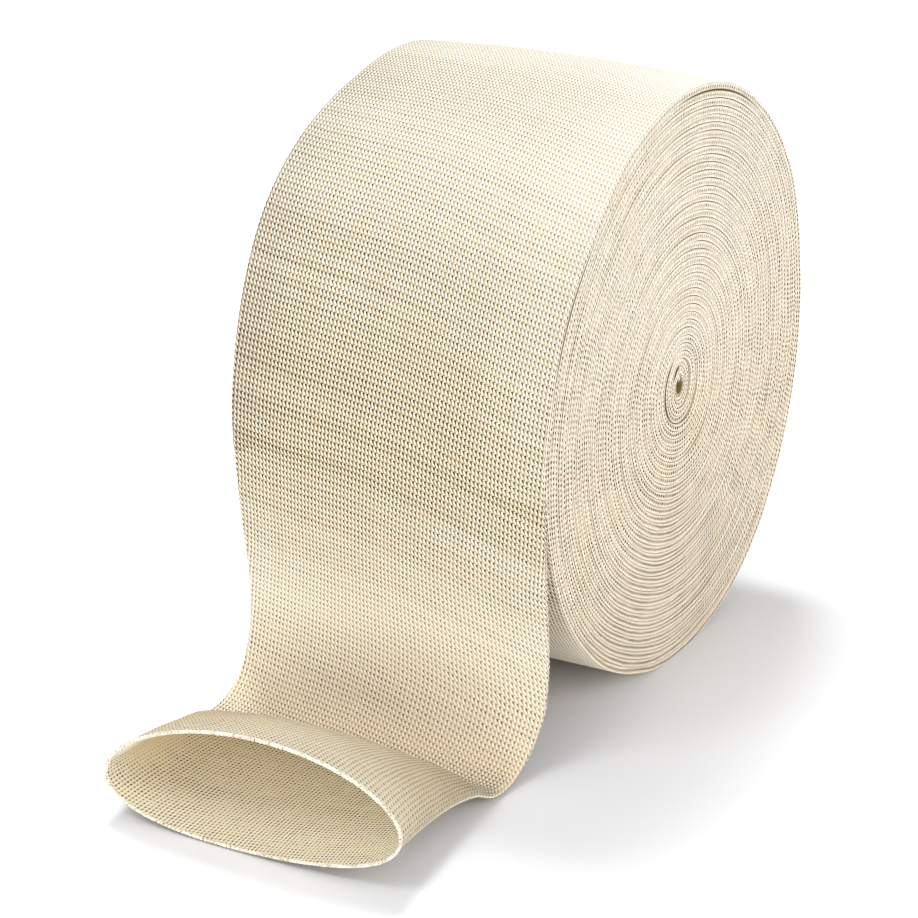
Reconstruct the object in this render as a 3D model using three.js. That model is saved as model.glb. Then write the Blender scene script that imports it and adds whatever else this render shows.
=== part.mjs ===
// Tubular elastic bandage: one seamless knitted sleeve, laid flat and wound on itself.
// The last stretch leaves the roll at the front, hangs to the surface and opens into a mouth.
// X runs along the roll's axis, -Y is the front, Z is up, and the origin is under the roll.
import * as THREE from 'three';

// Driving dimensions in millimetres, and angles in degrees.
// Angles run round the roll from the back, 0, over the top, 90, to the front, 180.
const flatWidth = 87.5;
const turnPitch = 2.02;
const rollRadius = 78.4;
const pieceGap = 0.33;
const leaveAngle = 188;
const flatSpotDepth = 0.35;
const cream = 0xe9dfc4;

// One turn is two layers of knit, so the cloth is half a pitch thick.
const cloth = turnPitch / 2;
const halfWidth = flatWidth / 2;

function radians(degrees) {
  return degrees * Math.PI / 180;
}

function mix(from, to, share) {
  return from + (to - from) * share;
}

function ease(share) {
  const held = Math.min(Math.max(share, 0), 1);
  return held * held * (3 - 2 * held);
}

// A closed body from rings of points that follow each other, each ring running the same way round.
// coverFirst and coverLast add the triangles that close the two end rings.
function ringBody(rings, coverFirst, coverLast) {
  const points = [];
  const triangles = [];
  const count = rings[0].length;
  rings.forEach((ring) => points.push(...ring));
  for (let r = 0; r + 1 < rings.length; r += 1) {
    for (let k = 0; k < count; k += 1) {
      const next = (k + 1) % count;
      const here = r * count;
      const there = here + count;
      triangles.push([here + k, here + next, there + next], [here + k, there + next, there + k]);
    }
  }
  coverFirst(points, triangles, 0, count, false);
  coverLast(points, triangles, (rings.length - 1) * count, count, true);
  const geometry = new THREE.BufferGeometry();
  geometry.setAttribute('position', new THREE.Float32BufferAttribute(points.flat(), 3));
  geometry.setIndex(triangles.flat());
  geometry.computeVertexNormals();
  return geometry;
}

// Covers a round ring with a fan from its middle point.
function coverWithFan(middle) {
  return (points, triangles, start, count, last) => {
    const hub = points.length;
    points.push(middle);
    for (let k = 0; k < count; k += 1) {
      const a = start + k;
      const b = start + (k + 1) % count;
      triangles.push(last ? [a, b, hub] : [b, a, hub]);
    }
  };
}

// Covers a long flat ring with strips between the points that face each other across it.
function coverWithStrips(points, triangles, start, count, last) {
  for (let k = 0; k < count / 2; k += 1) {
    const a = start + k;
    const b = start + k + 1;
    const c = start + (count - k - 1) % count;
    const d = start + (count - k) % count;
    const pair = [[a, b, c], [a, c, d]].filter((corner) => new Set(corner).size === 3);
    pair.forEach((corner) => triangles.push(last ? corner : [...corner].reverse()));
  }
}

// The wound roll. Its outline is the outside of the last turn, which grows by one pitch
// in one turn and ends in a step where the sleeve leaves the roll.
const rollSides = 120;
const stepWidth = 0.25;
const pressedShare = 0.08;
const eye = { y: -2.7, z: 0.6 };
const lowestShare = (270 - leaveAngle) / 360;
const rollHeight = rollRadius - turnPitch * (1 - lowestShare) - flatSpotDepth;

// Where the winding stands out or sinks in, on the right (1), the left (-1) or both sides (0).
const bulges = [
  { angle: -58, height: 1.8, spread: 30, side: 0 },
  { angle: 7, height: -1.5, spread: 17, side: 1 },
  { angle: 133, height: -1.3, spread: 13, side: 1 },
  { angle: 142, height: 1.0, spread: 14, side: -1 },
  { angle: 103, height: -2.6, spread: 18, side: -1 },
  { angle: -117, height: -0.7, spread: 16, side: 1 },
];

// The roll is fuller at the middle of its width than at its folds, over its upper half.
const crown = { height: 2.2, angle: 75, x: -11, reach: 48 };
const crownRows = [-0.72, -0.36, 0, 0.36, 0.72];

// Rows from the rim of an end face to its eye: share of the radius, and depth below the face.
const endRows = [
  { share: 1.0, depth: 1.05 },
  { share: 0.9975, depth: 0.42 },
  { share: 0.992, depth: 0.1 },
  { share: 0.984, depth: 0.0 },
  { share: 0.82, depth: 0.3 },
  { share: 0.62, depth: 0.1 },
  { share: 0.42, depth: 0.35 },
  { share: 0.24, depth: 0.1 },
  { share: 0.12, depth: 0.5 },
  { share: 0.05, depth: 0.3 },
];
const eyeDepth = 1.4;

function turnRadius(along, angle, x) {
  const pressed = pieceGap * Math.max(0, 1 - along / pressedShare);
  let radius = rollRadius - turnPitch * (1 - along) - pressed;
  bulges.forEach((bulge) => {
    const away = (((angle - bulge.angle) % 360) + 540) % 360 - 180;
    const near = Math.exp(-((away / bulge.spread) ** 2));
    const sided = bulge.side === 0 ? 1 : (1 + bulge.side * x / halfWidth) / 2;
    radius += bulge.height * near * sided;
  });
  const over = Math.max(0, Math.cos(radians(angle - crown.angle)));
  const across = Math.max(0, 1 - ((x - crown.x) / crown.reach) ** 2);
  return radius + crown.height * ease(over) * across;
}

function rollRing(x, share) {
  const ring = [];
  for (let k = 0; k < rollSides; k += 1) {
    const along = k / (rollSides - 1);
    const angle = leaveAngle - (360 - stepWidth) * (1 - along);
    const radius = turnRadius(along, angle, x) * share;
    const y = eye.y * (1 - share) + radius * Math.cos(radians(angle));
    const z = rollHeight + eye.z * (1 - share) + radius * Math.sin(radians(angle));
    ring.push([x, y, Math.max(z, 0)]);
  }
  return ring;
}

function rollGeometry() {
  const fromEye = [...endRows].reverse();
  const rings = [
    ...fromEye.map((row) => rollRing(row.depth - halfWidth, row.share)),
    ...crownRows.map((row) => rollRing(row * halfWidth, 1)),
    ...endRows.map((row) => rollRing(halfWidth - row.depth, row.share)),
  ];
  const eyePoint = (side) => [side * (halfWidth - eyeDepth), eye.y, rollHeight + eye.z];
  return ringBody(rings, coverWithFan(eyePoint(-1)), coverWithFan(eyePoint(1)));
}

// The loose end. Its middle line leaves the roll, hangs a little inwards, turns forward
// over the surface and runs along it to the lip.
const lipY = -146.8;
const foldY = -89;
const leaveRadius = rollRadius - cloth;
const leave = radians(leaveAngle + 0.5);
const middleLine = [
  { y: leaveRadius * Math.cos(leave), z: rollHeight + leaveRadius * Math.sin(leave) },
  { y: -76.3, z: 57.5 },
  { y: -75.2, z: 47 },
  { y: -73.8, z: 36 },
  { y: -73.2, z: 25 },
  { y: -74.9, z: 15 },
  { y: -79.4, z: 6.8 },
  { y: -86.0, z: 2.4 },
  { y: -94, z: cloth },
  { y: -110, z: cloth },
  { y: -127, z: cloth },
  { y: lipY, z: cloth },
];
const endStep = 3.2;
const endSides = 56;
const foldCrowding = 0.9;

// Half way down, the right fold hangs this far in front of the middle and the left fold behind it.
const sideLead = 1.9;

// The mouth opens faster at first than near the lip, and its lip leans back by a share of its height.
const earlyOpening = 0.6;
const gentleStart = 0.25;
const lipLean = 0.1;

// The pocket inside the mouth starts this share of the way from the fold on the surface to the lip.
const pocketStart = 0.07;

// The right fold is drawn in, and lifts a little, where the sleeve turns on to the surface.
const waist = { depth: 3.0, lift: 1.0, before: 0.35, fullness: 0.8, liftSharpness: 3 };

// The mouth at the lip: an ellipse that is a little turned, flatter below, and wider above.
const mouth = {
  x: 3.3,
  z: 13.15,
  halfWidth: 40.1,
  halfHeight: 13.78,
  turnAcross: 0.49,
  turnUp: 1.41,
  flatness: 1.72,
  widerAbove: 1.59,
};

// Rows round the rolled rim, from the outside of the cloth to its inside:
// how far behind the lip, and how far out from the middle of the cloth.
const rimRows = [
  { behind: 2.6, out: cloth / 2 },
  { behind: 2.0, out: 0.8 },
  { behind: 1.2, out: 1.0 },
  { behind: 0.4, out: 0.75 },
  { behind: 0, out: 0 },
  { behind: 0.4, out: -0.75 },
  { behind: 1.2, out: -1.0 },
  { behind: 2.0, out: -0.8 },
  { behind: 2.6, out: -cloth / 2 },
];

const line = new THREE.CatmullRomCurve3(
  middleLine.map((at) => new THREE.Vector3(0, at.y, at.z)),
  false,
  'centripetal',
);
line.arcLengthDivisions = 800;
const lineLength = line.getLength();
const mouthLength = foldY - lipY;

// Both layers lying on each other: a long ring with round ends, through the middle of the cloth.
function flatSection() {
  const high = cloth / 2;
  const straight = halfWidth - cloth;
  const path = new THREE.Path();
  path.moveTo(straight + high, 0);
  path.absarc(straight, 0, high, 0, Math.PI / 2, false);
  path.lineTo(-straight, high);
  path.absarc(-straight, 0, high, Math.PI / 2, Math.PI * 1.5, false);
  path.lineTo(straight, -high);
  path.absarc(straight, 0, high, Math.PI * 1.5, Math.PI * 2, false);
  return path;
}

class MouthCurve extends THREE.Curve {
  getPoint(share, target = new THREE.Vector2()) {
    const turn = share * Math.PI * 2;
    const x = mouth.x + mouth.halfWidth * Math.cos(turn) + mouth.turnAcross * Math.sin(turn)
      + mouth.widerAbove * Math.sin(2 * turn);
    const z = mouth.z + mouth.halfHeight * Math.sin(turn) + mouth.turnUp * Math.cos(turn)
      - mouth.flatness * Math.cos(2 * turn);
    return target.set(x, z - cloth);
  }
}

const flat = flatSection();
const round = new MouthCurve();

// Shares of the way round a section, with more points on its two folds than on its flats.
function roundShares() {
  const shares = [];
  for (let k = 0; k < endSides; k += 1) {
    const turn = k / endSides;
    shares.push(turn - foldCrowding * Math.sin(4 * Math.PI * turn) / (4 * Math.PI));
  }
  return shares;
}

const shares = roundShares();

function mouthShare(distance) {
  return (distance - (lineLength - mouthLength)) / mouthLength;
}

// How far the mouth has opened, from 0 at the fold on the surface to 1 at the lip.
function openness(distance) {
  const held = Math.min(Math.max(mouthShare(distance), 0), 1);
  return held * (1 + earlyOpening * (1 - held)) * ease(held / gentleStart);
}

// How far the waist has set in, from 0 at the left fold and both its ends to 1 at the right fold.
function drawnIn(distance, x) {
  const share = (mouthShare(distance) + waist.before) / (1 + waist.before);
  const held = Math.min(Math.max(share, 0), 1);
  return Math.sin(Math.PI * held) ** waist.fullness * (1 + x / halfWidth) / 2;
}

// The cloth's middle all round a section, in the section's own plane.
function sectionPoints(distance) {
  const open = openness(distance);
  return shares.map((share) => {
    const lying = flat.getPointAt(share);
    return lying.lerp(round.getPointAt(share), open);
  });
}

function endRing(distance, out) {
  const along = Math.min(distance / lineLength, 1);
  const middle = line.getPointAt(along);
  const tangent = line.getTangentAt(along);
  const lead = sideLead * Math.sin(Math.PI * along) / halfWidth;
  const lean = lipLean * openness(distance);
  const points = sectionPoints(distance);
  return points.map((point, k) => {
    const before = points[(k + endSides - 1) % endSides];
    const after = points[(k + 1) % endSides];
    const run = new THREE.Vector2().subVectors(after, before).normalize();
    const x = point.x + out * run.y;
    const up = point.y - out * run.x;
    const y = middle.y + up * tangent.z - lead * x + lean * up;
    const drawn = drawnIn(distance, x);
    const z = middle.z - up * tangent.y + waist.lift * drawn ** waist.liftSharpness;
    return [x - waist.depth * drawn, y, Math.max(z, 0)];
  });
}

function looseEndGeometry() {
  const rings = [];
  const wallEnd = lineLength - rimRows[0].behind;
  const outerSteps = Math.round(wallEnd / endStep);
  for (let k = 0; k < outerSteps; k += 1) {
    rings.push(endRing(wallEnd * k / outerSteps, cloth / 2));
  }
  rimRows.forEach((row) => rings.push(endRing(lineLength - row.behind, row.out)));
  const pocketEnd = lineLength - mouthLength * (1 - pocketStart);
  const innerSteps = Math.round((wallEnd - pocketEnd) / endStep);
  for (let k = 1; k <= innerSteps; k += 1) {
    rings.push(endRing(mix(wallEnd, pocketEnd, k / innerSteps), -cloth / 2));
  }
  return ringBody(rings, coverWithStrips, coverWithStrips);
}

function knit() {
  return new THREE.MeshStandardMaterial({ color: cream, roughness: 0.95, metalness: 0 });
}

function piece(name, geometry) {
  const mesh = new THREE.Mesh(geometry, knit());
  mesh.name = name;
  return mesh;
}

const bandage = new THREE.Group();
bandage.add(piece('roll', rollGeometry()));
bandage.add(piece('loose_end', looseEndGeometry()));

export default bandage;
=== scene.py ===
import math
import bpy
import numpy as np
from mathutils import Matrix, Vector


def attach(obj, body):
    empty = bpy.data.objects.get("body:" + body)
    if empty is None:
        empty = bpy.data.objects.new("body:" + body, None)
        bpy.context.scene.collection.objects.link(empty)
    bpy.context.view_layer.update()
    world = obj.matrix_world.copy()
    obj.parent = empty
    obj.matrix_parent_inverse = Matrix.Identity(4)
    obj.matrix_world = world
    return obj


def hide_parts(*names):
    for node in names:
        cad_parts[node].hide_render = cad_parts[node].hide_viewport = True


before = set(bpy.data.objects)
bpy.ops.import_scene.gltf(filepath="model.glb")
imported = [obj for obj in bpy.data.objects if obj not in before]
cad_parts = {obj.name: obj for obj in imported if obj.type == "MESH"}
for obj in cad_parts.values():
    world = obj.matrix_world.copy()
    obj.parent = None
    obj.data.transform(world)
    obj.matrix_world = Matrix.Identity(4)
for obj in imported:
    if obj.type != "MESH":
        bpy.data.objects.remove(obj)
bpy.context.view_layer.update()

# The camera stands in front of the bandage, to its right and a little above it, with a long lens.
# It looks at a point a little to the left of the roll's middle and below it, which keeps the
# photograph's framing.
image_width = 918
focal_pixels = 2804.7
sensor_width = 36.0
camera_azimuth = math.radians(29.35)
camera_elevation = math.radians(21.5)
camera_distance = 0.7408
roll_middle = Vector((0.0, 0.0, 0.0774))
aim_right = -0.0201
aim_up = -0.0278

to_camera = Vector((
    math.sin(camera_azimuth) * math.cos(camera_elevation),
    -math.cos(camera_azimuth) * math.cos(camera_elevation),
    math.sin(camera_elevation),
))
camera_right = Vector((math.cos(camera_azimuth), math.sin(camera_azimuth), 0.0))
camera_up = to_camera.cross(camera_right)
camera_data = bpy.data.cameras.new("camera")
camera_data.sensor_width = sensor_width
camera_data.lens = focal_pixels / image_width * sensor_width
camera_data.clip_start = 0.05
camera_data.clip_end = 20.0
camera = bpy.data.objects.new("camera", camera_data)
aim = roll_middle + camera_right * aim_right + camera_up * aim_up
turn = Matrix((camera_right, camera_up, to_camera)).transposed().to_4x4()
camera.matrix_world = Matrix.Translation(aim + to_camera * camera_distance) @ turn
bpy.context.scene.collection.objects.link(camera)
bpy.context.scene.camera = camera


# The roll is one seamless knitted sleeve of elastic cotton, pressed flat and wound on itself
# about 38 times. Each turn is two layers of cloth, so its two folds show as a ridge on each
# end face, and the last turn leaves the roll at the front.
class Wire:
    """A socket of a node tree. Python's operators on it add Math nodes."""

    def __init__(self, graph, socket):
        self.graph = graph
        self.socket = socket

    def math(self, operation, *others):
        """One Math node with this value first."""
        values = dict(enumerate([self, *others]))
        return self.graph.node("ShaderNodeMath", {"operation": operation}, values)

    def __add__(self, other):
        return self.math("ADD", other)

    def __sub__(self, other):
        return self.math("SUBTRACT", other)

    def __mul__(self, other):
        return self.math("MULTIPLY", other)

    def __truediv__(self, other):
        return self.math("DIVIDE", other)

    def __pow__(self, other):
        return self.math("POWER", other)

    def __mod__(self, other):
        return self.math("FLOORED_MODULO", other)

    def __neg__(self):
        return self.math("MULTIPLY", -1.0)

    def __radd__(self, other):
        return self.math("ADD", other)

    def __rmul__(self, other):
        return self.math("MULTIPLY", other)

    def __rsub__(self, other):
        return self.graph.node("ShaderNodeMath", {"operation": "SUBTRACT"}, {0: other, 1: self})

    def __rtruediv__(self, other):
        return self.graph.node("ShaderNodeMath", {"operation": "DIVIDE"}, {0: other, 1: self})

    def floor(self):
        return self.math("FLOOR")

    def cos(self):
        return self.math("COSINE")

    def sin(self):
        return self.math("SINE")

    def exp(self):
        return self.math("EXPONENT")

    def least(self, other):
        return self.math("MINIMUM", other)

    def most(self, other):
        return self.math("MAXIMUM", other)

    def above(self, other):
        """1 where this value is greater than the other, and 0 elsewhere."""
        return self.math("GREATER_THAN", other)

    def below(self, other):
        """1 where this value is less than the other, and 0 elsewhere."""
        return self.math("LESS_THAN", other)

    def ease(self, start, end):
        """0 at start, 1 at end, and smooth between them."""
        settings = {"interpolation_type": "SMOOTHSTEP"}
        return self.graph.node("ShaderNodeMapRange", settings, {"Value": self, 1: start, 2: end})

    def bell(self, width, power=2.0):
        """1 at 0, and down to 0 on both sides of it, past this width."""
        return (-((self / width) ** power)).exp()

    def wave(self):
        """1 at each whole number, 0 half way between them, and smooth."""
        return (self * math.tau).cos() * 0.5 + 0.5

    def turned_from(self, degrees):
        """The shorter way round from this angle, from -180 to 180."""
        return (self - degrees).math("WRAP", 180.0, -180.0)


class Graph:
    """A node tree while it is built. node() adds any node and returns one of its outputs."""

    def __init__(self, tree):
        self.tree = tree

    def node(self, kind, settings=None, values=None, output=0):
        made = self.tree.nodes.new(kind)
        for name, value in (settings or {}).items():
            setattr(made, name, value)
        for key, value in (values or {}).items():
            if isinstance(value, Wire):
                self.tree.links.new(value.socket, made.inputs[key])
            else:
                made.inputs[key].default_value = value
        return Wire(self, made.outputs[output])

    def vector(self, x=0.0, y=0.0, z=0.0):
        return self.node("ShaderNodeCombineXYZ", None, {0: x, 1: y, 2: z})

    def noise(self, place, scale, detail=2.0):
        """Smooth noise from 0 to 1, with a mean of 0.5 and this many waves in each unit of place."""
        values = {"Vector": place, "Scale": scale, "Detail": detail}
        return self.node("ShaderNodeTexNoise", {"noise_dimensions": "3D"}, values)

    def random(self, lowest, highest, seed):
        """A random number for each point."""
        values = {2: lowest, 3: highest, "Seed": seed}
        return self.node("FunctionNodeRandomValue", {"data_type": "FLOAT"}, values, output=1)

    def blend(self, share, first, second, how="MIX"):
        """A colour that goes from first to second, or to their product, as share goes to 1."""
        settings = {"data_type": "RGBA", "blend_type": how, "clamp_factor": True}
        values = {0: share, 6: first, 7: second}
        return self.node("ShaderNodeMix", settings, values, output=2)

    def carried(self, name):
        """A number that the mesh carries at each point, for a material."""
        return self.node("ShaderNodeAttribute", {"attribute_name": name}, output=2)

    def stored(self, geometry, name, value, data_type="FLOAT", domain="POINT"):
        """The geometry with one more value that it carries."""
        settings = {"data_type": data_type, "domain": domain}
        values = {"Geometry": geometry, "Name": name, "Value": value}
        return self.node("GeometryNodeStoreNamedAttribute", settings, values)

    def result(self, geometry):
        """The finished tree, which gives this geometry."""
        group_out = self.tree.nodes.new("NodeGroupOutput")
        self.tree.links.new(geometry.socket, group_out.inputs[0])
        return self.tree


flat_width = 0.0875
half_width = flat_width / 2
turn_pitch = 0.00202
layer = turn_pitch / 2
roll_radius = 0.0784
leave_angle = 184.5
roll_height = 0.07649
turns = 37.45

# Stitches: the columns are wales and the rows are courses. 41 and a half wales lie between the
# middle of a face and a fold, so that a row of holes runs along each fold. The rows climb round
# the sleeve together, rows_round of them at a time. The wales crowd together towards the right
# fold, and the rows run up to it in a shallow curve.
wales_to_fold = 41.5
wale = half_width / wales_to_fold
course = 0.001447
rows_round = 23
row_slope = rows_round * course / (2 * flat_width)
crowding = 1.0
row_curve = -1.3

# Where the last turn leaves the roll the cloth is drawn askew by some wales and then part of the
# way back, the wales crowd to the other side, and the rows are drawn down. Below it fans out.
# A stretch is measured along the sleeve from where it leaves, and is negative on the roll.
skew_wales = 5.5
skew_stretch = (-0.045, 0.040)
skew_back_wales = -2.5
skew_back_stretch = (0.040, 0.080)
uncrowding = 2.2
uncrowding_stretch = (-0.045, 0.020)
drawn_rows = -2.8
drawn_stretch = (-0.030, 0.038)
fan_out = -0.10
fan_stretch = (0.020, 0.060)


def stitch_lattice(g, uv, across, along, fineness):
    """The wale and the row at a point of the sleeve, as numbers that grow by 1 a stitch."""
    # Both wander a little, in waves about 20 mm and 5 mm long.
    to_fold = 0.5 - (across * (math.pi / half_width)).cos() * 0.5
    askew = along.ease(*skew_stretch) * skew_wales + along.ease(*skew_back_stretch) * skew_back_wales
    drift = (g.noise(uv, 45.0) - 0.5) * 0.8 + (g.noise(uv, 260.0) - 0.5) * 0.3
    fanned = 1.0 + along.ease(*fan_stretch) * fan_out
    column = across * (fineness / wale) * fanned + askew + drift
    column = column + to_fold * crowding * (1.0 - along.ease(*uncrowding_stretch) * uncrowding)
    lift = (g.noise(g.vector(along, across), 45.0) - 0.5) + (g.noise(uv, 200.0) - 0.5) * 0.3
    row = (along - across * row_slope) * (fineness / course) + to_fold * row_curve + lift
    return column, row + along.ease(*drawn_stretch) * drawn_rows


# The yarn's colours where it lies slack and where it is stretched, and the painted shades that
# darken or warm it. The tan beside a strand is painted shade, and the stretched tan also stands
# for the deeper shade where light grazes the knit.
pale_yarn = ((0.945, 0.915, 0.865, 1.0), (0.945, 0.885, 0.76, 1.0))
shaded_tan_yarn = ((0.86, 0.80, 0.70, 1.0), (0.43, 0.35, 0.235, 1.0))
warm_shade = (1.0, 0.92, 0.78, 1.0)
hole_shade = (0.05, 0.035, 0.010, 1.0)
slit_shade = (0.22, 0.18, 0.07, 1.0)
white = (1.0, 1.0, 1.0, 1.0)

# A strand rises over this share of its stitch, and the hole lies this far above the rise's start.
# Neighbouring rows and wales lie unlike apart in a noise, so that they differ.
strand_rise = 0.7
hole_row = 0.08
strand_sharpness = 1.4
unlike = 5.7


def knit_material(name, sway, leg_share, hole, fineness, see_through, glow, tint=white, tint_share=0.0):
    """The knit as strands along the sleeve, with a hole of painted shade between them in each stitch."""
    material = bpy.data.materials.new(name)
    material.use_nodes = True
    g = Graph(material.node_tree)
    shader = material.node_tree.nodes["Principled BSDF"]
    uv = g.node("ShaderNodeUVMap", {"uv_map": "knit"})
    across = g.node("ShaderNodeSeparateXYZ", None, {0: uv}, output=0)
    along = g.node("ShaderNodeSeparateXYZ", None, {0: uv}, output=1)
    at_fold = g.carried("at_fold")
    stretched_and_shaded = g.carried("stretch_and_shade")

    # Each strand leans over during its rise and comes back quickly, where it is hidden.
    column, row = stitch_lattice(g, uv, across, along, fineness)
    phase = (row + hole_row) % 1.0
    lean = (phase / strand_rise).least((1.0 - phase) / (1.0 - strand_rise)) * 2.0 - 1.0
    lean_at_hole = 2 * hole_row / strand_rise - 1
    aside = column - (lean - lean_at_hole) * sway * (1.0 - at_fold * 0.5)
    # One leg of each stitch is painted lighter than the other, as the light falls on it.
    leg = (phase - strand_rise / 2).wave()
    grain = aside.wave() ** strand_sharpness * (1.0 - leg_share + leg * leg_share)

    # Each hole is painted shade, as deep as chance makes it and, where the knit is uneven,
    # its patch of cloth too.
    from_gap = (aside % 1.0) - 0.5
    from_row = ((row + 0.5) % 1.0) - 0.5
    row_number = (row + 0.5).floor()
    stitch = g.vector(aside.floor(), row_number)
    chance = g.node("ShaderNodeTexWhiteNoise", {"noise_dimensions": "2D"}, {"Vector": stitch})
    patch = g.noise(g.node("ShaderNodeTexCoord", output=3), 130.0).ease(0.3, 0.7)
    even_depth = 0.8 + chance * 0.6
    wild_depth = (chance * 0.7 + 0.65) * (patch * 0.7 + 0.65)
    depth = even_depth + g.carried("uneven") * (wild_depth - even_depth)
    in_hole = (-((from_gap / hole[0]) ** 2.0 + (from_row / hole[1]) ** 2.0)).exp()
    streak = g.noise(g.vector(across * 6.0, row_number * unlike), 1.0, 1.0) - 0.5
    dark = in_hole * depth * g.carried("hole_shade_share") * (1.05 - streak * 0.9)

    # The yarn is pale where a strand stands up, and painted shade makes it tan beside it. Fibres,
    # rows, wales and single stitches differ a little, and the stitches on a fold are flecked.
    fibre = g.noise(g.vector(across * 9000.0, along * 2500.0), 1.0) - 0.5
    rib = g.noise(g.vector(column.floor() * unlike, along * 16.0), 1.0, 1.0) - 0.5
    light = grain * 1.35 - 0.10 + fibre * 0.3 + streak * 0.55 + rib * 0.25
    light = light + (chance - 0.5) * (0.16 + at_fold * 0.5)
    light = light + (g.noise(uv, 1300.0) - 0.5) * at_fold * 3.5
    yarn = g.blend(light, g.blend(stretched_and_shaded, *shaded_tan_yarn), g.blend(stretched_and_shaded, *pale_yarn))
    # Painted warm shade darkens and warms the yarn where less light falls and light bounces between the
    # cream cloth.
    warm_shaded = g.blend(g.carried("warm_shade_share"), g.blend(tint_share, yarn, tint), warm_shade, "MULTIPLY")
    colour = g.blend(g.carried("slit"), g.blend(dark, warm_shaded, hole_shade), slit_shade)
    height = grain * 0.8 - dark * 0.7 + fibre * 0.2
    bump = g.node("ShaderNodeBump", None, {"Strength": 0.4, "Distance": 0.0004, "Height": height})
    g.tree.links.new(colour.socket, shader.inputs["Base Color"])
    g.tree.links.new(bump.socket, shader.inputs["Normal"])
    shader.inputs["Roughness"].default_value = 0.92
    shader.inputs["Specular IOR Level"].default_value = 0.15
    shader.inputs["Sheen Weight"].default_value = 0.1
    shader.inputs["Sheen Roughness"].default_value = 0.5

    # A single layer lets light through, a little less where the yarn or the hole is dark.
    through = g.node("ShaderNodeBsdfTranslucent", None, {"Color": glow})
    sheer = g.carried("single_layer") * see_through * (light * 0.25 + 0.88).least(1.0)
    sheer = sheer * (1.0 - dark.least(1.0) * 0.9)
    surface = g.node(
        "ShaderNodeMixShader", None,
        {0: sheer.most(0.0), 1: Wire(g, shader.outputs["BSDF"]), 2: through},
    )
    g.tree.links.new(surface.socket, material.node_tree.nodes["Material Output"].inputs["Surface"])
    return material


knit_outside = knit_material(
    "knit_outside", sway=0.24, leg_share=0.75, hole=(0.22, 0.26), fineness=1.0,
    see_through=0.93, glow=(0.96, 0.93, 0.875, 1.0),
)

# Where the winding stands out or sinks in. side is 1 for the right, -1 for the left, 0 for both.
# The roll is also fuller at the middle of its width, over its upper half.
bulges = [
    {"angle": -58.0, "height": 0.0018, "spread": 30.0, "side": 0},
    {"angle": 7.0, "height": -0.0015, "spread": 17.0, "side": 1},
    {"angle": 133.0, "height": -0.0013, "spread": 13.0, "side": 1},
    {"angle": 142.0, "height": 0.0010, "spread": 14.0, "side": -1},
    {"angle": 103.0, "height": -0.0026, "spread": 18.0, "side": -1},
    {"angle": -117.0, "height": -0.0007, "spread": 16.0, "side": 1},
]
crown_height = 0.0022
crown_angle = 75.0
crown_x = -0.011
crown_reach = 0.048

# Each layer is a hair thinner than its share of the pitch. A fold stands out by a quarter of
# its thickness, and by less at the front and underneath, where the turns are pressed together.
thickness = layer - 0.00004
fold_depth = 0.25
fold_bluntness = 0.38
shallow_folds = [
    {"angle": 165.0, "spread": 62.0, "less": 0.88},
    {"angle": -85.0, "spread": 55.0, "less": 0.65},
]

# Here and there a turn's folds lie in a little, less so over the first quarter of a turn, and
# the turns lie slack by a hair.
inset = 0.0022
inset_waves = 14.0
inset_above = 0.42
slack_depth = 0.0003
slack_waves = 9.0

# Over the outer third of the winding, at the front, the turns cling together in pairs.
pair_turns = 12
pair_shift = 0.00007
pair_squeeze = 0.07
pair_angle = 190.0
pair_spread = 42.0

# Narrow hollows between turns, at an angle and after a number of turns from the outside.
hollows = [
    {"angle": 78.0, "spread": 20.0, "after": 1, "width": 0.00008},
    {"angle": 150.0, "spread": 13.0, "after": 1, "width": 0.00012},
    {"angle": 178.0, "spread": 58.0, "after": 34, "width": 0.00120},
    {"angle": 120.0, "spread": 30.0, "after": 36, "width": 0.00050},
]

# The eye lies off the roll's middle, is pulled in, and is squeezed narrow from front to back.
# A reach is a share of the roll's radius.
eye_y = -0.0027
eye_z = 0.0006
eye_sunk = 0.0009
eye_sunk_reach = 0.09
eye_squeeze = 0.35
eye_squeeze_reach = 0.07

# The mesh has this many rings in a turn, and steps round each fold and across each face. The
# cloth's map goes one wale round a fold on each side. At its end the sleeve is a little thinner.
steps_per_turn = 120
fold_steps = 6
face_steps = 4
side_steps = fold_steps + face_steps
fold_reach = wale
end_thinner = 0.04


def shape_tree(name, inputs):
    """A new Geometry Nodes tree with these named inputs, as its graph and a wire for each input."""
    tree = bpy.data.node_groups.new(name, "GeometryNodeTree")
    tree.interface.new_socket("Geometry", in_out="OUTPUT", socket_type="NodeSocketGeometry")
    for label, kind in inputs.items():
        tree.interface.new_socket(label, in_out="INPUT", socket_type="NodeSocket" + kind)
    group_in = tree.nodes.new("NodeGroupInput")
    g = Graph(tree)
    return g, [Wire(g, group_in.outputs[k]) for k in range(len(inputs))]


def swelling(angle, across, x):
    """How far the winding stands out from an even round."""
    parts = []
    for bulge in bulges:
        near = angle.turned_from(bulge["angle"]).bell(bulge["spread"]) * bulge["height"]
        if bulge["side"]:
            near = near * (across * bulge["side"] + 1.0) * 0.5
        parts.append(near)
    over = ((angle - crown_angle) * math.pi / 180.0).cos().ease(0.0, 1.0)
    middle = (1.0 - ((x - crown_x) / crown_reach) ** 2.0).most(0.0)
    return sum(parts) + over * middle * crown_height


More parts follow.
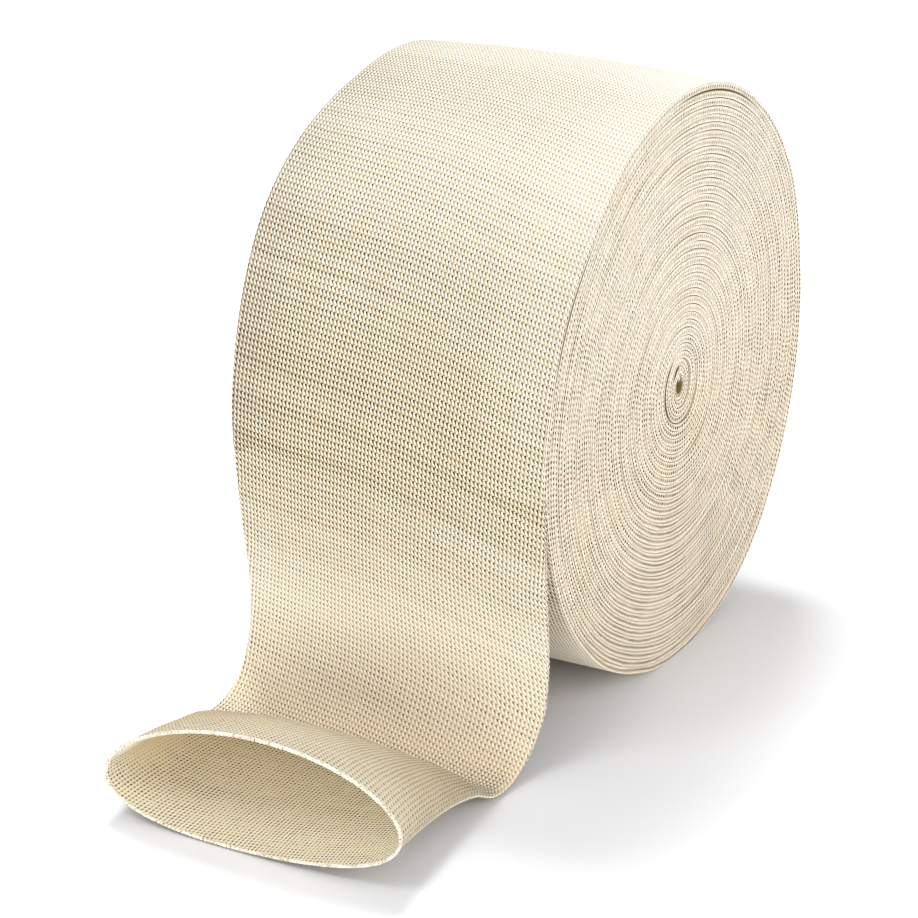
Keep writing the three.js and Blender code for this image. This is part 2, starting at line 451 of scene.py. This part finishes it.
def winding_look(angle, up, rear, back, share, across, at_fold, slit):
    """What the knit's material reads. up and rear are the sine and cosine of the angle."""
    # The holes of a face and the tan beside its strands are painted shade. It is deepest at the
    # front, where light grazes the knit, and lighter over the top, where the light falls straight
    # on, behind and towards the right. Lower down the holes are painted darker, and lowest down the
    # holes and the tan are painted lighter, standing in for light from the floor.
    grazing_shade = 1.08 - up.ease(0.25, 0.9) * 0.46 - rear.ease(-0.25, 0.1) * 0.25 - across * 0.12
    grazing_shade = grazing_shade - across.ease(0.6, 1.0) * 0.15
    under = up.ease(0.5, -0.2) * 0.15
    below = up.ease(-0.4, -0.75) * 0.5
    # Those of a fold are wider near the rim, low on the end face and beside the eye, and narrower
    # at the top.
    core = angle.turned_from(30.0).bell(55.0, 4.0) * back.ease(31.0, 32.5) * (1.0 - back.ease(35.5, 37.0))
    open_fold = 0.62 + share * 0.3 + core * 0.35 + up.ease(-0.4, -0.95) * 0.25
    open_fold = open_fold - up.ease(0.3, 0.95) * 0.3
    outermost = 1.0 - back.ease(0.6, 1.2)
    return {
        "hole_shade_share": grazing_shade + under - below + at_fold * (open_fold - grazing_shade + below),
        "stretch_and_shade": grazing_shade - below + at_fold * (0.38 - grazing_shade + below),
        "uneven": at_fold * (1.0 - outermost * 0.8),
        "at_fold": at_fold,
        # Painted warm shade, less over the top, where the light falls, and more on the folds.
        "warm_shade_share": 0.4 - up.ease(-0.5, 0.9) * 0.36 + at_fold * 0.32,
        "slit": slit,
        "single_layer": 0.0,
    }


def winding_tree():
    """The sleeve wound on itself, as a grid of rings whose points are placed by their number."""
    g, (turn_count, pitch, outer, half, thick) = shape_tree("winding", {
        "Turns": "Float",
        "Turn Pitch": "Float",
        "Roll Radius": "Float",
        "Half Width": "Float",
        "Layer": "Float",
    })
    points = 2 * side_steps + 1
    ring_count = turn_count * steps_per_turn + 4.0
    grid = g.node("GeometryNodeMeshGrid", None, {"Vertices X": ring_count, "Vertices Y": points})
    index = g.node("GeometryNodeInputIndex")
    ring = (index / points).floor()
    point = index % points

    # Ring 0 is in the eye. back counts the turns from where the sleeve leaves the roll. The first
    # and the last ring are pressed flat, which closes the sleeve's ends.
    unpressed = ring.least(1.0) * (ring_count - 1.0 - ring).least(1.0)
    steps_back = ring_count - 3.0 - ring
    back = steps_back.most(-0.5).least(turn_count * steps_per_turn) / steps_per_turn
    thinned = 1.0 - (-steps_back).most(0.0).least(1.0) * end_thinner
    angle = leave_angle - back * 360.0
    length = (outer * back - pitch * back * back * 0.5) * math.tau
    share = (outer - pitch * back) / outer

    # A ring goes round the right fold, along a face, round the left fold and back along a face.
    second = (point / side_steps).floor() % 2.0
    step = point % side_steps
    sign = 1.0 - second * 2.0
    fold = (step / fold_steps).least(1.0)
    face = (step - fold_steps).most(0.0) / face_steps
    fold_angle = (fold - 0.5) * math.pi
    outer_side = fold_angle.sin() * sign

    wobble = g.noise(g.vector(length * inset_waves, sign * 5.0), 1.0, 3.0)
    sunk = share.bell(eye_sunk_reach) * eye_sunk
    fold_x = half - (wobble - inset_above).most(0.0) * inset * (back * 4.0).least(1.0).most(0.0) - sunk
    depth = thick * fold_depth
    for place in shallow_folds:
        depth = depth * (1.0 - angle.turned_from(place["angle"]).bell(place["spread"], 4.0) * place["less"])
    blunt = fold_angle.cos().most(0.0) ** fold_bluntness * depth
    x = ((fold_x - depth) * (1.0 - face * 2.0) + blunt * thinned) * sign
    across = x / half

    paired = angle.turned_from(pair_angle).bell(pair_spread, 4.0)
    paired = paired * (pair_turns - back).most(0.0).least(1.0) * (back * 3.0).most(0.0).least(1.0)
    odd = (back + 0.5).floor() % 2.0 * 2.0 - 1.0
    rise = fold_angle.sin() * thick * sign * unpressed * thinned * (1.0 - paired * pair_squeeze)
    radius = outer - pitch * back + paired * odd * pair_shift

    # Everything inside a hollow moves in by its width, and the cloth on both its sides is shaded.
    # So are the inner side of the eye and, faintly and here and there, the seams between turns.
    slits = []
    for hollow in hollows:
        passing = (leave_angle - hollow["angle"]) / 360.0 + hollow["after"]
        near = angle.turned_from(hollow["angle"]).bell(hollow["spread"], 4.0)
        inside = back.above(passing - 0.5)
        in_next = inside * back.below(passing + 0.5)
        in_last = (1.0 - inside) * back.above(passing - 1.5)
        moved = near * inside * hollow["width"] * (outer - pitch * back)
        radius = radius - moved / (outer - pitch * passing)
        sides = outer_side.ease(0.5, 1.0) * in_next + (-outer_side).ease(0.5, 1.0) * in_last
        slits.append(near * sides)
    in_eye = (-outer_side).ease(0.2, 0.9) * back.ease(turns - 1.05, turns - 0.9)
    seam = g.noise(g.vector(length * 7.0, 20.0), 1.0, 2.0).ease(0.35, 0.65) * 0.28 + 0.06
    slit = sum(slits) + in_eye + (outer_side * outer_side).ease(0.8, 1.0) * back.ease(1.0, 1.1) * seam

    slack = (g.noise(g.vector(length * slack_waves, 40.0), 1.0, 2.0) - 0.5) * back.least(1.0).most(0.0)
    far = radius - thick + (swelling(angle, across, x) + slack * slack_depth) * share + rise
    turn_angle = angle * (math.pi / 180.0)
    up = turn_angle.sin()
    rear = turn_angle.cos()
    narrowed = 1.0 - share.bell(eye_squeeze_reach) * eye_squeeze
    y = (1.0 - share) * eye_y + far * rear * narrowed
    z = (1.0 - share) * eye_z + roll_height + far * up
    place = g.vector(x, y, z.most(0.0))

    # The map says where a point lies on the flat sleeve: round it, and along it.
    around = half + fold_reach - second * flat_width - fold * (2 * fold_reach)
    around = around - face * (flat_width - 2 * fold_reach)
    mapped = g.stored(grid, "cloth_place", g.vector(around, -length), "FLOAT_VECTOR")
    placed = g.node("GeometryNodeSetPosition", None, {"Geometry": mapped, "Position": place})
    cloth_place = g.node(
        "GeometryNodeInputNamedAttribute", {"data_type": "FLOAT_VECTOR"}, {"Name": "cloth_place"},
    )
    dressed = g.stored(placed, "knit", cloth_place, "FLOAT2", "CORNER")
    at_fold = fold_angle.cos().ease(0.0, 0.5).most(back.ease(1.0, 1.15))
    look = winding_look(angle, up, rear, back, share, across, at_fold, slit)
    for name, value in look.items():
        dressed = g.stored(dressed, name, value)
    cleared = g.node(
        "GeometryNodeRemoveAttribute", None, {"Geometry": dressed, "Name": "cloth_place"},
    )

    # All faces are smooth apart from those that close the two ends.
    face_ring = (index / (points - 1)).floor()
    at_end = 1.0 - face_ring.least(1.0) * (ring_count - 2.0 - face_ring).least(1.0)
    smooth = g.node("GeometryNodeSetShadeSmooth", None, {0: cleared, "Shade Smooth": True})
    edged = g.node(
        "GeometryNodeSetShadeSmooth", None, {0: smooth, "Selection": at_end, "Shade Smooth": False},
    )
    joined = g.node("GeometryNodeMergeByDistance", None, {"Geometry": edged, "Distance": 0.000002})
    real = g.node("GeometryNodeRealizeInstances", None, {"Geometry": joined})
    return g.result(
        g.node("GeometryNodeSetMaterial", None, {"Geometry": real, "Material": knit_outside}),
    )


def made_by(tree, name, sizes, lines=None):
    """A plain mesh object from a Geometry Nodes tree with these sizes, and lines for it to follow."""
    carrier = bpy.data.objects.new(name + "_carrier", lines or bpy.data.meshes.new(name + "_carrier"))
    bpy.context.scene.collection.objects.link(carrier)
    modifier = carrier.modifiers.new("shape", "NODES")
    modifier.node_group = tree
    for item in tree.interface.items_tree:
        if item.in_out == "INPUT" and item.name in sizes:
            modifier[item.identifier] = sizes[item.name]
    depsgraph = bpy.context.evaluated_depsgraph_get()
    mesh = bpy.data.meshes.new_from_object(
        carrier.evaluated_get(depsgraph), preserve_all_data_layers=True, depsgraph=depsgraph,
    )
    bpy.data.objects.remove(carrier)
    mesh.name = name
    piece = bpy.data.objects.new(name, mesh)
    bpy.context.scene.collection.objects.link(piece)
    return piece


roll = made_by(winding_tree(), "wound_roll", {
    "Turns": float(turns),
    "Turn Pitch": turn_pitch,
    "Roll Radius": roll_radius,
    "Half Width": half_width,
    "Layer": thickness,
})
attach(roll, "root")
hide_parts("roll")


# The loose end is the last stretch of the same sleeve. It hangs from the roll, turns forward
# on the surface and stands open there as a round mouth; its cut edge curls into a soft rim.
knit_inside = knit_material(
    "knit_inside", sway=0.08, leg_share=0.3, hole=(0.21, 0.26), fineness=1.2,
    see_through=1.0, glow=(1.0, 0.965, 0.86, 1.0), tint=(1.0, 0.94, 0.77, 1.0), tint_share=0.6,
)
rim_yarn = knit_material(
    "rim_yarn", sway=0.3, leg_share=0.3, hole=(0.1, 0.1), fineness=1.0,
    see_through=0.2, glow=(1.0, 0.97, 0.9, 1.0), tint=(0.86, 0.82, 0.70, 1.0), tint_share=0.6,
)

# It starts inside the end of the last turn.
leave_radius = roll_radius - thickness
tuck_angle = 1.5
tuck_length = leave_radius * math.radians(tuck_angle)


def on_last_turn(degrees):
    """The middle of the last turn, as (y, z)."""
    turned = math.radians(degrees)
    return leave_radius * math.cos(turned), roll_height + leave_radius * math.sin(turned)


# Its middle line, as (y, z). The first and the last point only give the curve its direction.
middle_line = np.array([
    on_last_turn(leave_angle - 2 * tuck_angle),
    on_last_turn(leave_angle - tuck_angle),
    on_last_turn(leave_angle),
    (-0.0763, 0.0575),
    (-0.0752, 0.0470),
    (-0.0738, 0.0360),
    (-0.0732, 0.0250),
    (-0.0749, 0.0150),
    (-0.0794, 0.0068),
    (-0.0860, 0.0024),
    (-0.0940, layer),
    (-0.1100, layer),
    (-0.1270, layer),
    (-0.1468, layer),
    (-0.1666, layer),
])


def smooth_line(points, steps):
    """A centripetal Catmull-Rom curve through all the points but the first and the last."""
    knots = np.append(0.0, np.cumsum(np.linalg.norm(np.diff(points, axis=0), axis=1) ** 0.5))
    slopes = np.gradient(points, knots, axis=0)
    share = np.linspace(0, 1, steps, endpoint=False)[:, None]
    pieces = []
    for k in range(1, len(points) - 2):
        span = knots[k + 1] - knots[k]
        start = (1 + 2 * share) * points[k] + share * span * slopes[k]
        end = (3 - 2 * share) * points[k + 1] + (share - 1) * span * slopes[k + 1]
        pieces.append((1 - share) ** 2 * start + share ** 2 * end)
    return np.vstack(pieces + [points[-2:-1]])


line = smooth_line(middle_line, 60)
line_at = np.append(0.0, np.cumsum(np.linalg.norm(np.diff(line, axis=0), axis=1)))
line_at -= tuck_length
line_length = line_at[-1]
line_way = np.gradient(line, line_at, axis=0)
line_way /= np.linalg.norm(line_way, axis=1)[:, None]

# A section has more points on its two folds than on its flats.
section_points = 120
fold_crowding = 0.9
turn_shares = np.arange(section_points) / section_points
section_shares = turn_shares - fold_crowding * np.sin(4 * math.pi * turn_shares) / (4 * math.pi)


def spaced(path):
    """Points at section_shares of the way round a closed path."""
    closed = np.vstack([path, path[:1]])
    way = np.append(0.0, np.cumsum(np.linalg.norm(np.diff(closed, axis=0), axis=1)))
    return np.stack([np.interp(section_shares * way[-1], way, closed[:, c]) for c in (0, 1)], axis=1)


def outward(path):
    """The outward directions of a closed path that runs anticlockwise."""
    run = np.roll(path, -1, axis=0) - np.roll(path, 1, axis=0)
    return np.stack([run[:, 1], -run[:, 0]], axis=1) / np.linalg.norm(run, axis=1)[:, None]


# Where the sleeve lies flat its section is a long ring with round ends.
end_points = 40
round_end = np.linspace(-math.pi / 2, math.pi / 2, end_points)
end_x = np.clip(np.cos(round_end), 0.0, None) ** fold_bluntness * thickness * fold_depth
end_x += half_width - thickness * fold_depth
end_z = thickness * np.sin(round_end)
end_middle = end_points // 2
flat_path = np.concatenate([
    np.stack([end_x[end_middle:], end_z[end_middle:]], axis=1),
    np.stack([-end_x, -end_z], axis=1),
    np.stack([end_x[:end_middle], end_z[:end_middle]], axis=1),
])
flat_path[:, 0] = np.clip(flat_path[:, 0], -half_width, half_width)
flat_section = spaced(flat_path)

# The mouth at the lip is an ellipse, a little turned, flatter below and wider above.
mouth_x = 0.0033
mouth_z = 0.01315
mouth_half_width = 0.0401
mouth_half_height = 0.01378
turned_across = 0.00049
turned_up = 0.00141
wider_above = 0.00159
flatter_below = 0.00172
mouth_turn = np.linspace(0, math.tau, 720, endpoint=False)
cosine = np.cos(mouth_turn)
sine = np.sin(mouth_turn)
mouth_path = np.stack([
    mouth_x + mouth_half_width * cosine + turned_across * sine + wider_above * np.sin(2 * mouth_turn),
    mouth_z + mouth_half_height * sine + turned_up * cosine - flatter_below * np.cos(2 * mouth_turn),
], axis=1)
mouth_path[:, 1] -= layer
mouth_section = spaced(mouth_path + outward(mouth_path) * layer / 2)

# The mouth opens faster at first than near the lip, and its lip leans back.
mouth_length = 0.0578
early_opening = 0.6
gentle_start = 0.25
lip_lean = 0.1

# Half way down, the right fold hangs in front of the middle and the left fold behind it. The
# right fold is drawn in, and lifts a little, where the sleeve turns on to the surface. Each row
# of stitches stands out a little on the folds.
side_lead = 0.0019
waist_depth = 0.0030
waist_lift = 0.0010
waist_before = 0.35
waist_fullness = 0.8
lift_sharpness = 3
scallop_depth = 0.00016
scallop_sharpness = 12
above_floor = 0.00002


def held(share):
    """A share that is kept between 0 and 1."""
    return min(max(share, 0.0), 1.0)


def eased(share):
    """0 up to 0, 1 from 1 on, and smooth between them."""
    kept = held(share)
    return kept * kept * (3.0 - 2.0 * kept)


def mouth_share(distance):
    """0 at the fold on the surface and 1 at the lip."""
    return (distance - line_length + mouth_length) / mouth_length


def openness(distance):
    """How far the mouth has opened, from 0 at the fold on the surface to 1 at the lip."""
    share = held(mouth_share(distance))
    return share * (1.0 + early_opening * (1.0 - share)) * eased(share / gentle_start)


def sleeve_ring(distance, inward):
    """The section at a distance from the roll, this far in from the sleeve's outer skin."""
    open_share = openness(distance)
    section = flat_section * (1.0 - open_share) + mouth_section * open_share
    section = section - outward(section) * inward
    middle = [np.interp(distance, line_at, line[:, c]) for c in (0, 1)]
    way = [np.interp(distance, line_at, line_way[:, c]) for c in (0, 1)]
    x, up = section[:, 0], section[:, 1]
    lead = side_lead * math.sin(math.pi * max(distance, 0.0) / line_length) / half_width
    waist = math.sin(math.pi * held((mouth_share(distance) + waist_before) / (1.0 + waist_before)))
    drawn = waist ** waist_fullness * np.clip((1.0 + x / half_width) / 2, 0.0, None)
    scallop = scallop_depth * (1.0 - open_share) * math.cos(math.tau * distance / course)
    x = x + np.sign(x) * np.clip(np.abs(x) / half_width, 0.0, 1.0) ** scallop_sharpness * scallop
    y = middle[0] + up * way[1] - lead * x + lip_lean * open_share * up
    z = middle[1] - up * way[0] + waist_lift * drawn ** lift_sharpness
    return np.stack([x - waist_depth * drawn, y, np.maximum(z, above_floor)], axis=1)


# The cloth of the mouth's wall, and the bead that its edge curls into. Below the rim's height
# the inside starts, and it ends a little before the fold on the surface.
wall = 0.0007
bead_radius = 0.00038
bead_behind = 0.00038
bead_depth = 0.00035
bead_wrap = 120
bead_step = 20
rim_height = 0.001
pocket_share = 0.93
outside_step = course / 4
inside_step = 0.0008


def bead_place(degrees, radius=bead_radius):
    """Distance and depth on the rolled rim: 90 is its outer side, 0 its front, -90 its inner side."""
    turned = math.radians(degrees)
    return line_length - bead_behind + radius * math.cos(turned), bead_depth - radius * math.sin(turned)


# Each row of points: distance from the roll, depth in the cloth from its outer skin, and material.
outside = 0
inside = 1
rim = 2
wall_end = line_length - rim_height
pocket_end = line_length - mouth_length * pocket_share
rows = [(-tuck_length, end_thinner * thickness, outside)]
rows += [(distance, 0.0, outside) for distance in np.arange(0.0, wall_end, outside_step)]
rows += [(*bead_place(degrees), rim) for degrees in range(bead_wrap, -bead_wrap - 1, -bead_step)]
rows += [(distance, wall, inside) for distance in np.arange(wall_end, pocket_end, -inside_step)]
rings = np.array([sleeve_ring(distance, depth) for distance, depth, _ in rows])

ring_total = len(rows)
here = np.arange(section_points)
after = (here + 1) % section_points
quads = []
for r in range(ring_total - 1):
    low = r * section_points
    high = low + section_points
    quads.append(np.stack([low + here, low + after, high + after, high + here], axis=1))
quads = np.vstack(quads)
first_cap = tuple(range(section_points))[::-1]
last_cap = tuple(range((ring_total - 1) * section_points, ring_total * section_points))
end_mesh = bpy.data.meshes.new("sleeve_end")
end_mesh.from_pydata(rings.reshape(-1, 3).tolist(), [], quads.tolist() + [first_cap, last_cap])
for material in (knit_outside, knit_inside, rim_yarn):
    end_mesh.materials.append(material)

# A face between two materials takes the rim's outside the bead, and the inside's within it.
quad_ring = np.repeat(np.arange(ring_total - 1), section_points)
row_material = np.array([row[2] for row in rows])
row_distance = np.array([row[0] for row in rows])
face_material = np.maximum(row_material[quad_ring], row_material[quad_ring + 1])
face_material[(row_material[quad_ring] == rim) & (row_material[quad_ring + 1] == inside)] = inside
face_material = np.append(face_material, [outside, inside]).astype(np.int32)
end_mesh.polygons.foreach_set("material_index", face_material)
end_mesh.polygons.foreach_set("use_smooth", np.append(np.ones(len(quads), bool), [False, False]))

# The map says where a point lies on the flat sleeve: round it, and along it.
around_here = half_width - section_shares * 2 * flat_width
around_after = np.append(around_here[1:], half_width - 2 * flat_width)
around_quad = np.stack([around_here, around_after, around_after, around_here], axis=1)
uv = np.zeros((len(quads), 4, 2))
uv[:, :, 0] = np.tile(around_quad, (ring_total - 1, 1))
uv[:, :2, 1] = row_distance[quad_ring][:, None]
uv[:, 2:, 1] = row_distance[quad_ring + 1][:, None]
cap_uv = np.zeros((2 * section_points, 2))
uv_layer = end_mesh.uv_layers.new(name="knit")
uv_layer.data.foreach_set("uv", np.append(uv.ravel(), cap_uv.ravel()))

# How the knit looks at these distances along the outside, and inside the mouth: how dark the
# painted shade in its holes is, how stretched and shaded the yarn beside them, how uneven, and how
# much painted warm shade it has. From half way down the drop to the bend on to the floor the holes
# and the tan are painted lighter, standing in for light from the floor, and near the bend the yarn
# has the most painted warm shade. Its own folds and seams, which the winding marks, don't show.
look_at = (0.0, 0.014, 0.040, 0.058, 0.072, 0.085, 0.140)
plain = (0.0,) * len(look_at)
looks = {
    "hole_shade_share": (1.15, 0.90, 0.60, 0.75, 0.65, 0.95, 1.0),
    "stretch_and_shade": (1.0, 0.80, 0.38, 0.40, 0.35, 0.95, 1.0),
    "uneven": (0.0, 0.0, 0.1, 0.1, 0.1, 0.3, 0.3),
    "warm_shade_share": (0.28, 0.25, 0.30, 0.60, 1.00, 0.05, 0.0),
    "at_fold": plain,
    "slit": plain,
}
inside_looks = {
    "hole_shade_share": 1.05, "stretch_and_shade": 0.45, "uneven": 0.5, "warm_shade_share": 0.4, "at_fold": 0.0, "slit": 0.0,
}
# On the left wall inside, some way behind the lip, where the wall lies in shade, the holes fade
# and painted shade makes the cloth golden and darker.
left_wall_shade = {"hole_shade_share": -0.9, "stretch_and_shade": -0.3, "warm_shade_share": 0.6, "slit": 0.2}
left_wall_share = 0.47
left_wall_spread = 0.07
left_wall_start = 0.003
left_wall_ramp = 0.010
kinds = np.repeat(row_material, section_points)
distances = np.repeat(row_distance, section_points)
round_shares = np.tile(section_shares, ring_total)
left_wall = np.exp(-((round_shares - left_wall_share) / left_wall_spread) ** 4)
left_wall *= np.clip((line_length - distances - left_wall_start) / left_wall_ramp, 0.0, 1.0)
for name, values in looks.items():
    inside_values = inside_looks[name] + left_wall * left_wall_shade.get(name, 0.0)
    layer_values = np.where(kinds == outside, np.interp(distances, look_at, values), inside_values)
    end_mesh.attributes.new(name, "FLOAT", "POINT").data.foreach_set("value", layer_values)

# Light comes through one layer soon after the mouth starts to open, but hardly through its lower
# half, which lies on the surface, and less through the left wall.
single_soon = 3.0
lower_half = 0.15
left_wall_less = 0.7
one_layer = np.repeat([held(openness(distance) * single_soon) for distance in row_distance], section_points)
one_layer *= np.where(round_shares < 0.5, 1.0, lower_half)
one_layer *= 1.0 - np.where(kinds == inside, left_wall, 0.0) * left_wall_less
end_mesh.attributes.new("single_layer", "FLOAT", "POINT").data.foreach_set("value", one_layer)
end_mesh.update()
loose_end = bpy.data.objects.new("sleeve_end", end_mesh)
bpy.context.scene.collection.objects.link(loose_end)
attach(loose_end, "root")
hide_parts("loose_end")


# The cut edge is overcast: short slanted stitches of the same soft yarn lie close together
# round the rolled rim and hold it.
def stitching_tree(yarn):
    """Slanted stitches at even steps along closed lines that know which way is outward."""
    g, (lines, count, long, wide, slant) = shape_tree("rim_stitching", {
        "Geometry": "Geometry",
        "Stitches": "Int",
        "Stitch Length": "Float",
        "Stitch Width": "Float",
        "Slant": "Float",
    })
    curve = g.node("GeometryNodeMeshToCurve", None, {"Mesh": lines})
    steps = g.node("GeometryNodeResampleCurve", {"mode": "COUNT"}, {"Curve": curve, "Count": count})
    tangent = g.node("GeometryNodeInputTangent")
    out = g.node("GeometryNodeInputNamedAttribute", {"data_type": "FLOAT_VECTOR"}, {"Name": "outward"})
    axes = {"primary_axis": "Z", "secondary_axis": "X"}
    laid = g.node("FunctionNodeAxesToRotation", axes, {0: out, 1: tangent})
    lean = g.random(-0.25, 0.25, seed=3)
    spin = g.node("FunctionNodeEulerToRotation", None, {0: g.vector(0.0, 0.0, slant + lean)})
    turned = g.node("FunctionNodeRotateRotation", {"rotation_space": "LOCAL"}, {0: laid, 1: spin})
    size = g.random(0.8, 1.15, seed=5)
    scale = g.vector(long * size, wide * size, wide * 0.8)
    bead = g.node("GeometryNodeMeshUVSphere", None, {"Segments": 8, "Rings": 5, "Radius": 0.5})
    soft = g.node("GeometryNodeSetShadeSmooth", None, {0: bead, "Shade Smooth": True})
    placed = g.node(
        "GeometryNodeInstanceOnPoints", None,
        {"Points": steps, "Instance": soft, "Rotation": turned, "Scale": scale},
    )
    real = g.node("GeometryNodeRealizeInstances", None, {"Geometry": placed})
    bare = g.node("GeometryNodeRemoveAttribute", None, {"Geometry": real, "Name": "outward"})
    return g.result(g.node("GeometryNodeSetMaterial", None, {"Geometry": bare, "Material": yarn}))


def stitch_yarn():
    """Off-white cotton yarn, with painted shade in a random pattern where its fibres lie deep."""
    material = bpy.data.materials.new("stitch_yarn")
    material.use_nodes = True
    g = Graph(material.node_tree)
    shader = material.node_tree.nodes["Principled BSDF"]
    place = g.node("ShaderNodeTexCoord", output=3)
    fibre = g.noise(place, 2600.0)
    patch = g.noise(place, 500.0)
    shade = (fibre * 0.7 + patch * 0.6).ease(0.5, 0.78)
    colour = g.blend(shade, (0.46, 0.41, 0.31, 1.0), (0.92, 0.895, 0.825, 1.0))
    bump = g.node("ShaderNodeBump", None, {"Strength": 0.3, "Distance": 0.0002, "Height": fibre})
    g.tree.links.new(colour.socket, shader.inputs["Base Color"])
    g.tree.links.new(bump.socket, shader.inputs["Normal"])
    shader.inputs["Roughness"].default_value = 0.9
    shader.inputs["Specular IOR Level"].default_value = 0.2
    return material


# The stitches lie in three lines round the bead, from its outer side to its inner side, and are
# sunk into it a little.
stitch_lines = (75.0, 15.0, -50.0)
stitch_sunk = 0.85
points = np.vstack([sleeve_ring(*bead_place(at, bead_radius * stitch_sunk)) for at in stitch_lines])
middles = np.tile(sleeve_ring(*bead_place(0.0, 0.0)), (len(stitch_lines), 1))
outward_ways = (points - middles) / np.linalg.norm(points - middles, axis=1)[:, None]
loops = np.arange(len(points)).reshape(len(stitch_lines), section_points)
edges = np.stack([loops, np.roll(loops, -1, axis=1)], axis=-1).reshape(-1, 2)
rim_lines = bpy.data.meshes.new("rim_lines")
rim_lines.from_pydata(points.tolist(), edges.tolist(), [])
rim_outward = rim_lines.attributes.new("outward", "FLOAT_VECTOR", "POINT")
rim_outward.data.foreach_set("vector", outward_ways.ravel())
rim_stitches = made_by(stitching_tree(stitch_yarn()), "rim_stitches", {
    "Stitches": 168,
    "Stitch Length": 0.00105,
    "Stitch Width": 0.00042,
    "Slant": 0.75,
}, rim_lines)
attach(rim_stitches, "root")


# The setting is a white sweep. A soft light stands high behind the roll, one to its right and
# one in front, and two small low ones in front lift the shade in the mouth and under the roll.
floor_reach = 6.0
floor_mesh = bpy.data.meshes.new("floor")
floor_mesh.from_pydata(
    [(-floor_reach, -floor_reach, 0), (floor_reach, -floor_reach, 0),
     (floor_reach, floor_reach, 0), (-floor_reach, floor_reach, 0)], [], [(0, 1, 2, 3)],
)
floor = bpy.data.objects.new("floor", floor_mesh)
bpy.context.scene.collection.objects.link(floor)
white_floor = bpy.data.materials.new("white_floor")
white_floor.use_nodes = True
floor_shader = white_floor.node_tree.nodes["Principled BSDF"]
floor_shader.inputs["Base Color"].default_value = (0.825, 0.84, 0.88, 1.0)
floor_shader.inputs["Roughness"].default_value = 1.0
floor_shader.inputs["Specular IOR Level"].default_value = 0.0
floor_mesh.materials.append(white_floor)


def soft_light(name, place, size, power, colour):
    """A large square light that faces the roll."""
    data = bpy.data.lights.new(name, "AREA")
    data.size = size
    data.energy = power
    data.color = colour
    light = bpy.data.objects.new(name, data)
    light.location = place
    light.rotation_euler = (Vector(place) - roll_middle).to_track_quat("Z", "Y").to_euler()
    bpy.context.scene.collection.objects.link(light)


soft_light("above", place=(-1.0, 1.4, 3.2), size=0.9, power=73.0, colour=(1.0, 1.0, 1.0))
soft_light("right", place=(2.0, -0.3, 1.0), size=1.4, power=17.0, colour=(1.0, 0.99, 0.97))
soft_light("front", place=(-0.4, -1.1, 1.7), size=0.8, power=11.0, colour=(1.0, 0.98, 0.94))
soft_light("low", place=(0.1, -1.6, 0.2), size=0.5, power=10.0, colour=(1.0, 0.97, 0.9))
soft_light("side", place=(1.1, -1.3, 0.12), size=0.4, power=4.5, colour=(1.0, 0.95, 0.86))

world = bpy.data.worlds.new("world")
bpy.context.scene.world = world
world.use_nodes = True
background = world.node_tree.nodes["Background"]
background.inputs["Color"].default_value = white
background.inputs["Strength"].default_value = 0.58
bpy.context.scene.view_settings.view_transform = "Standard"
bpy.context.scene.cycles.filter_width = 1.1
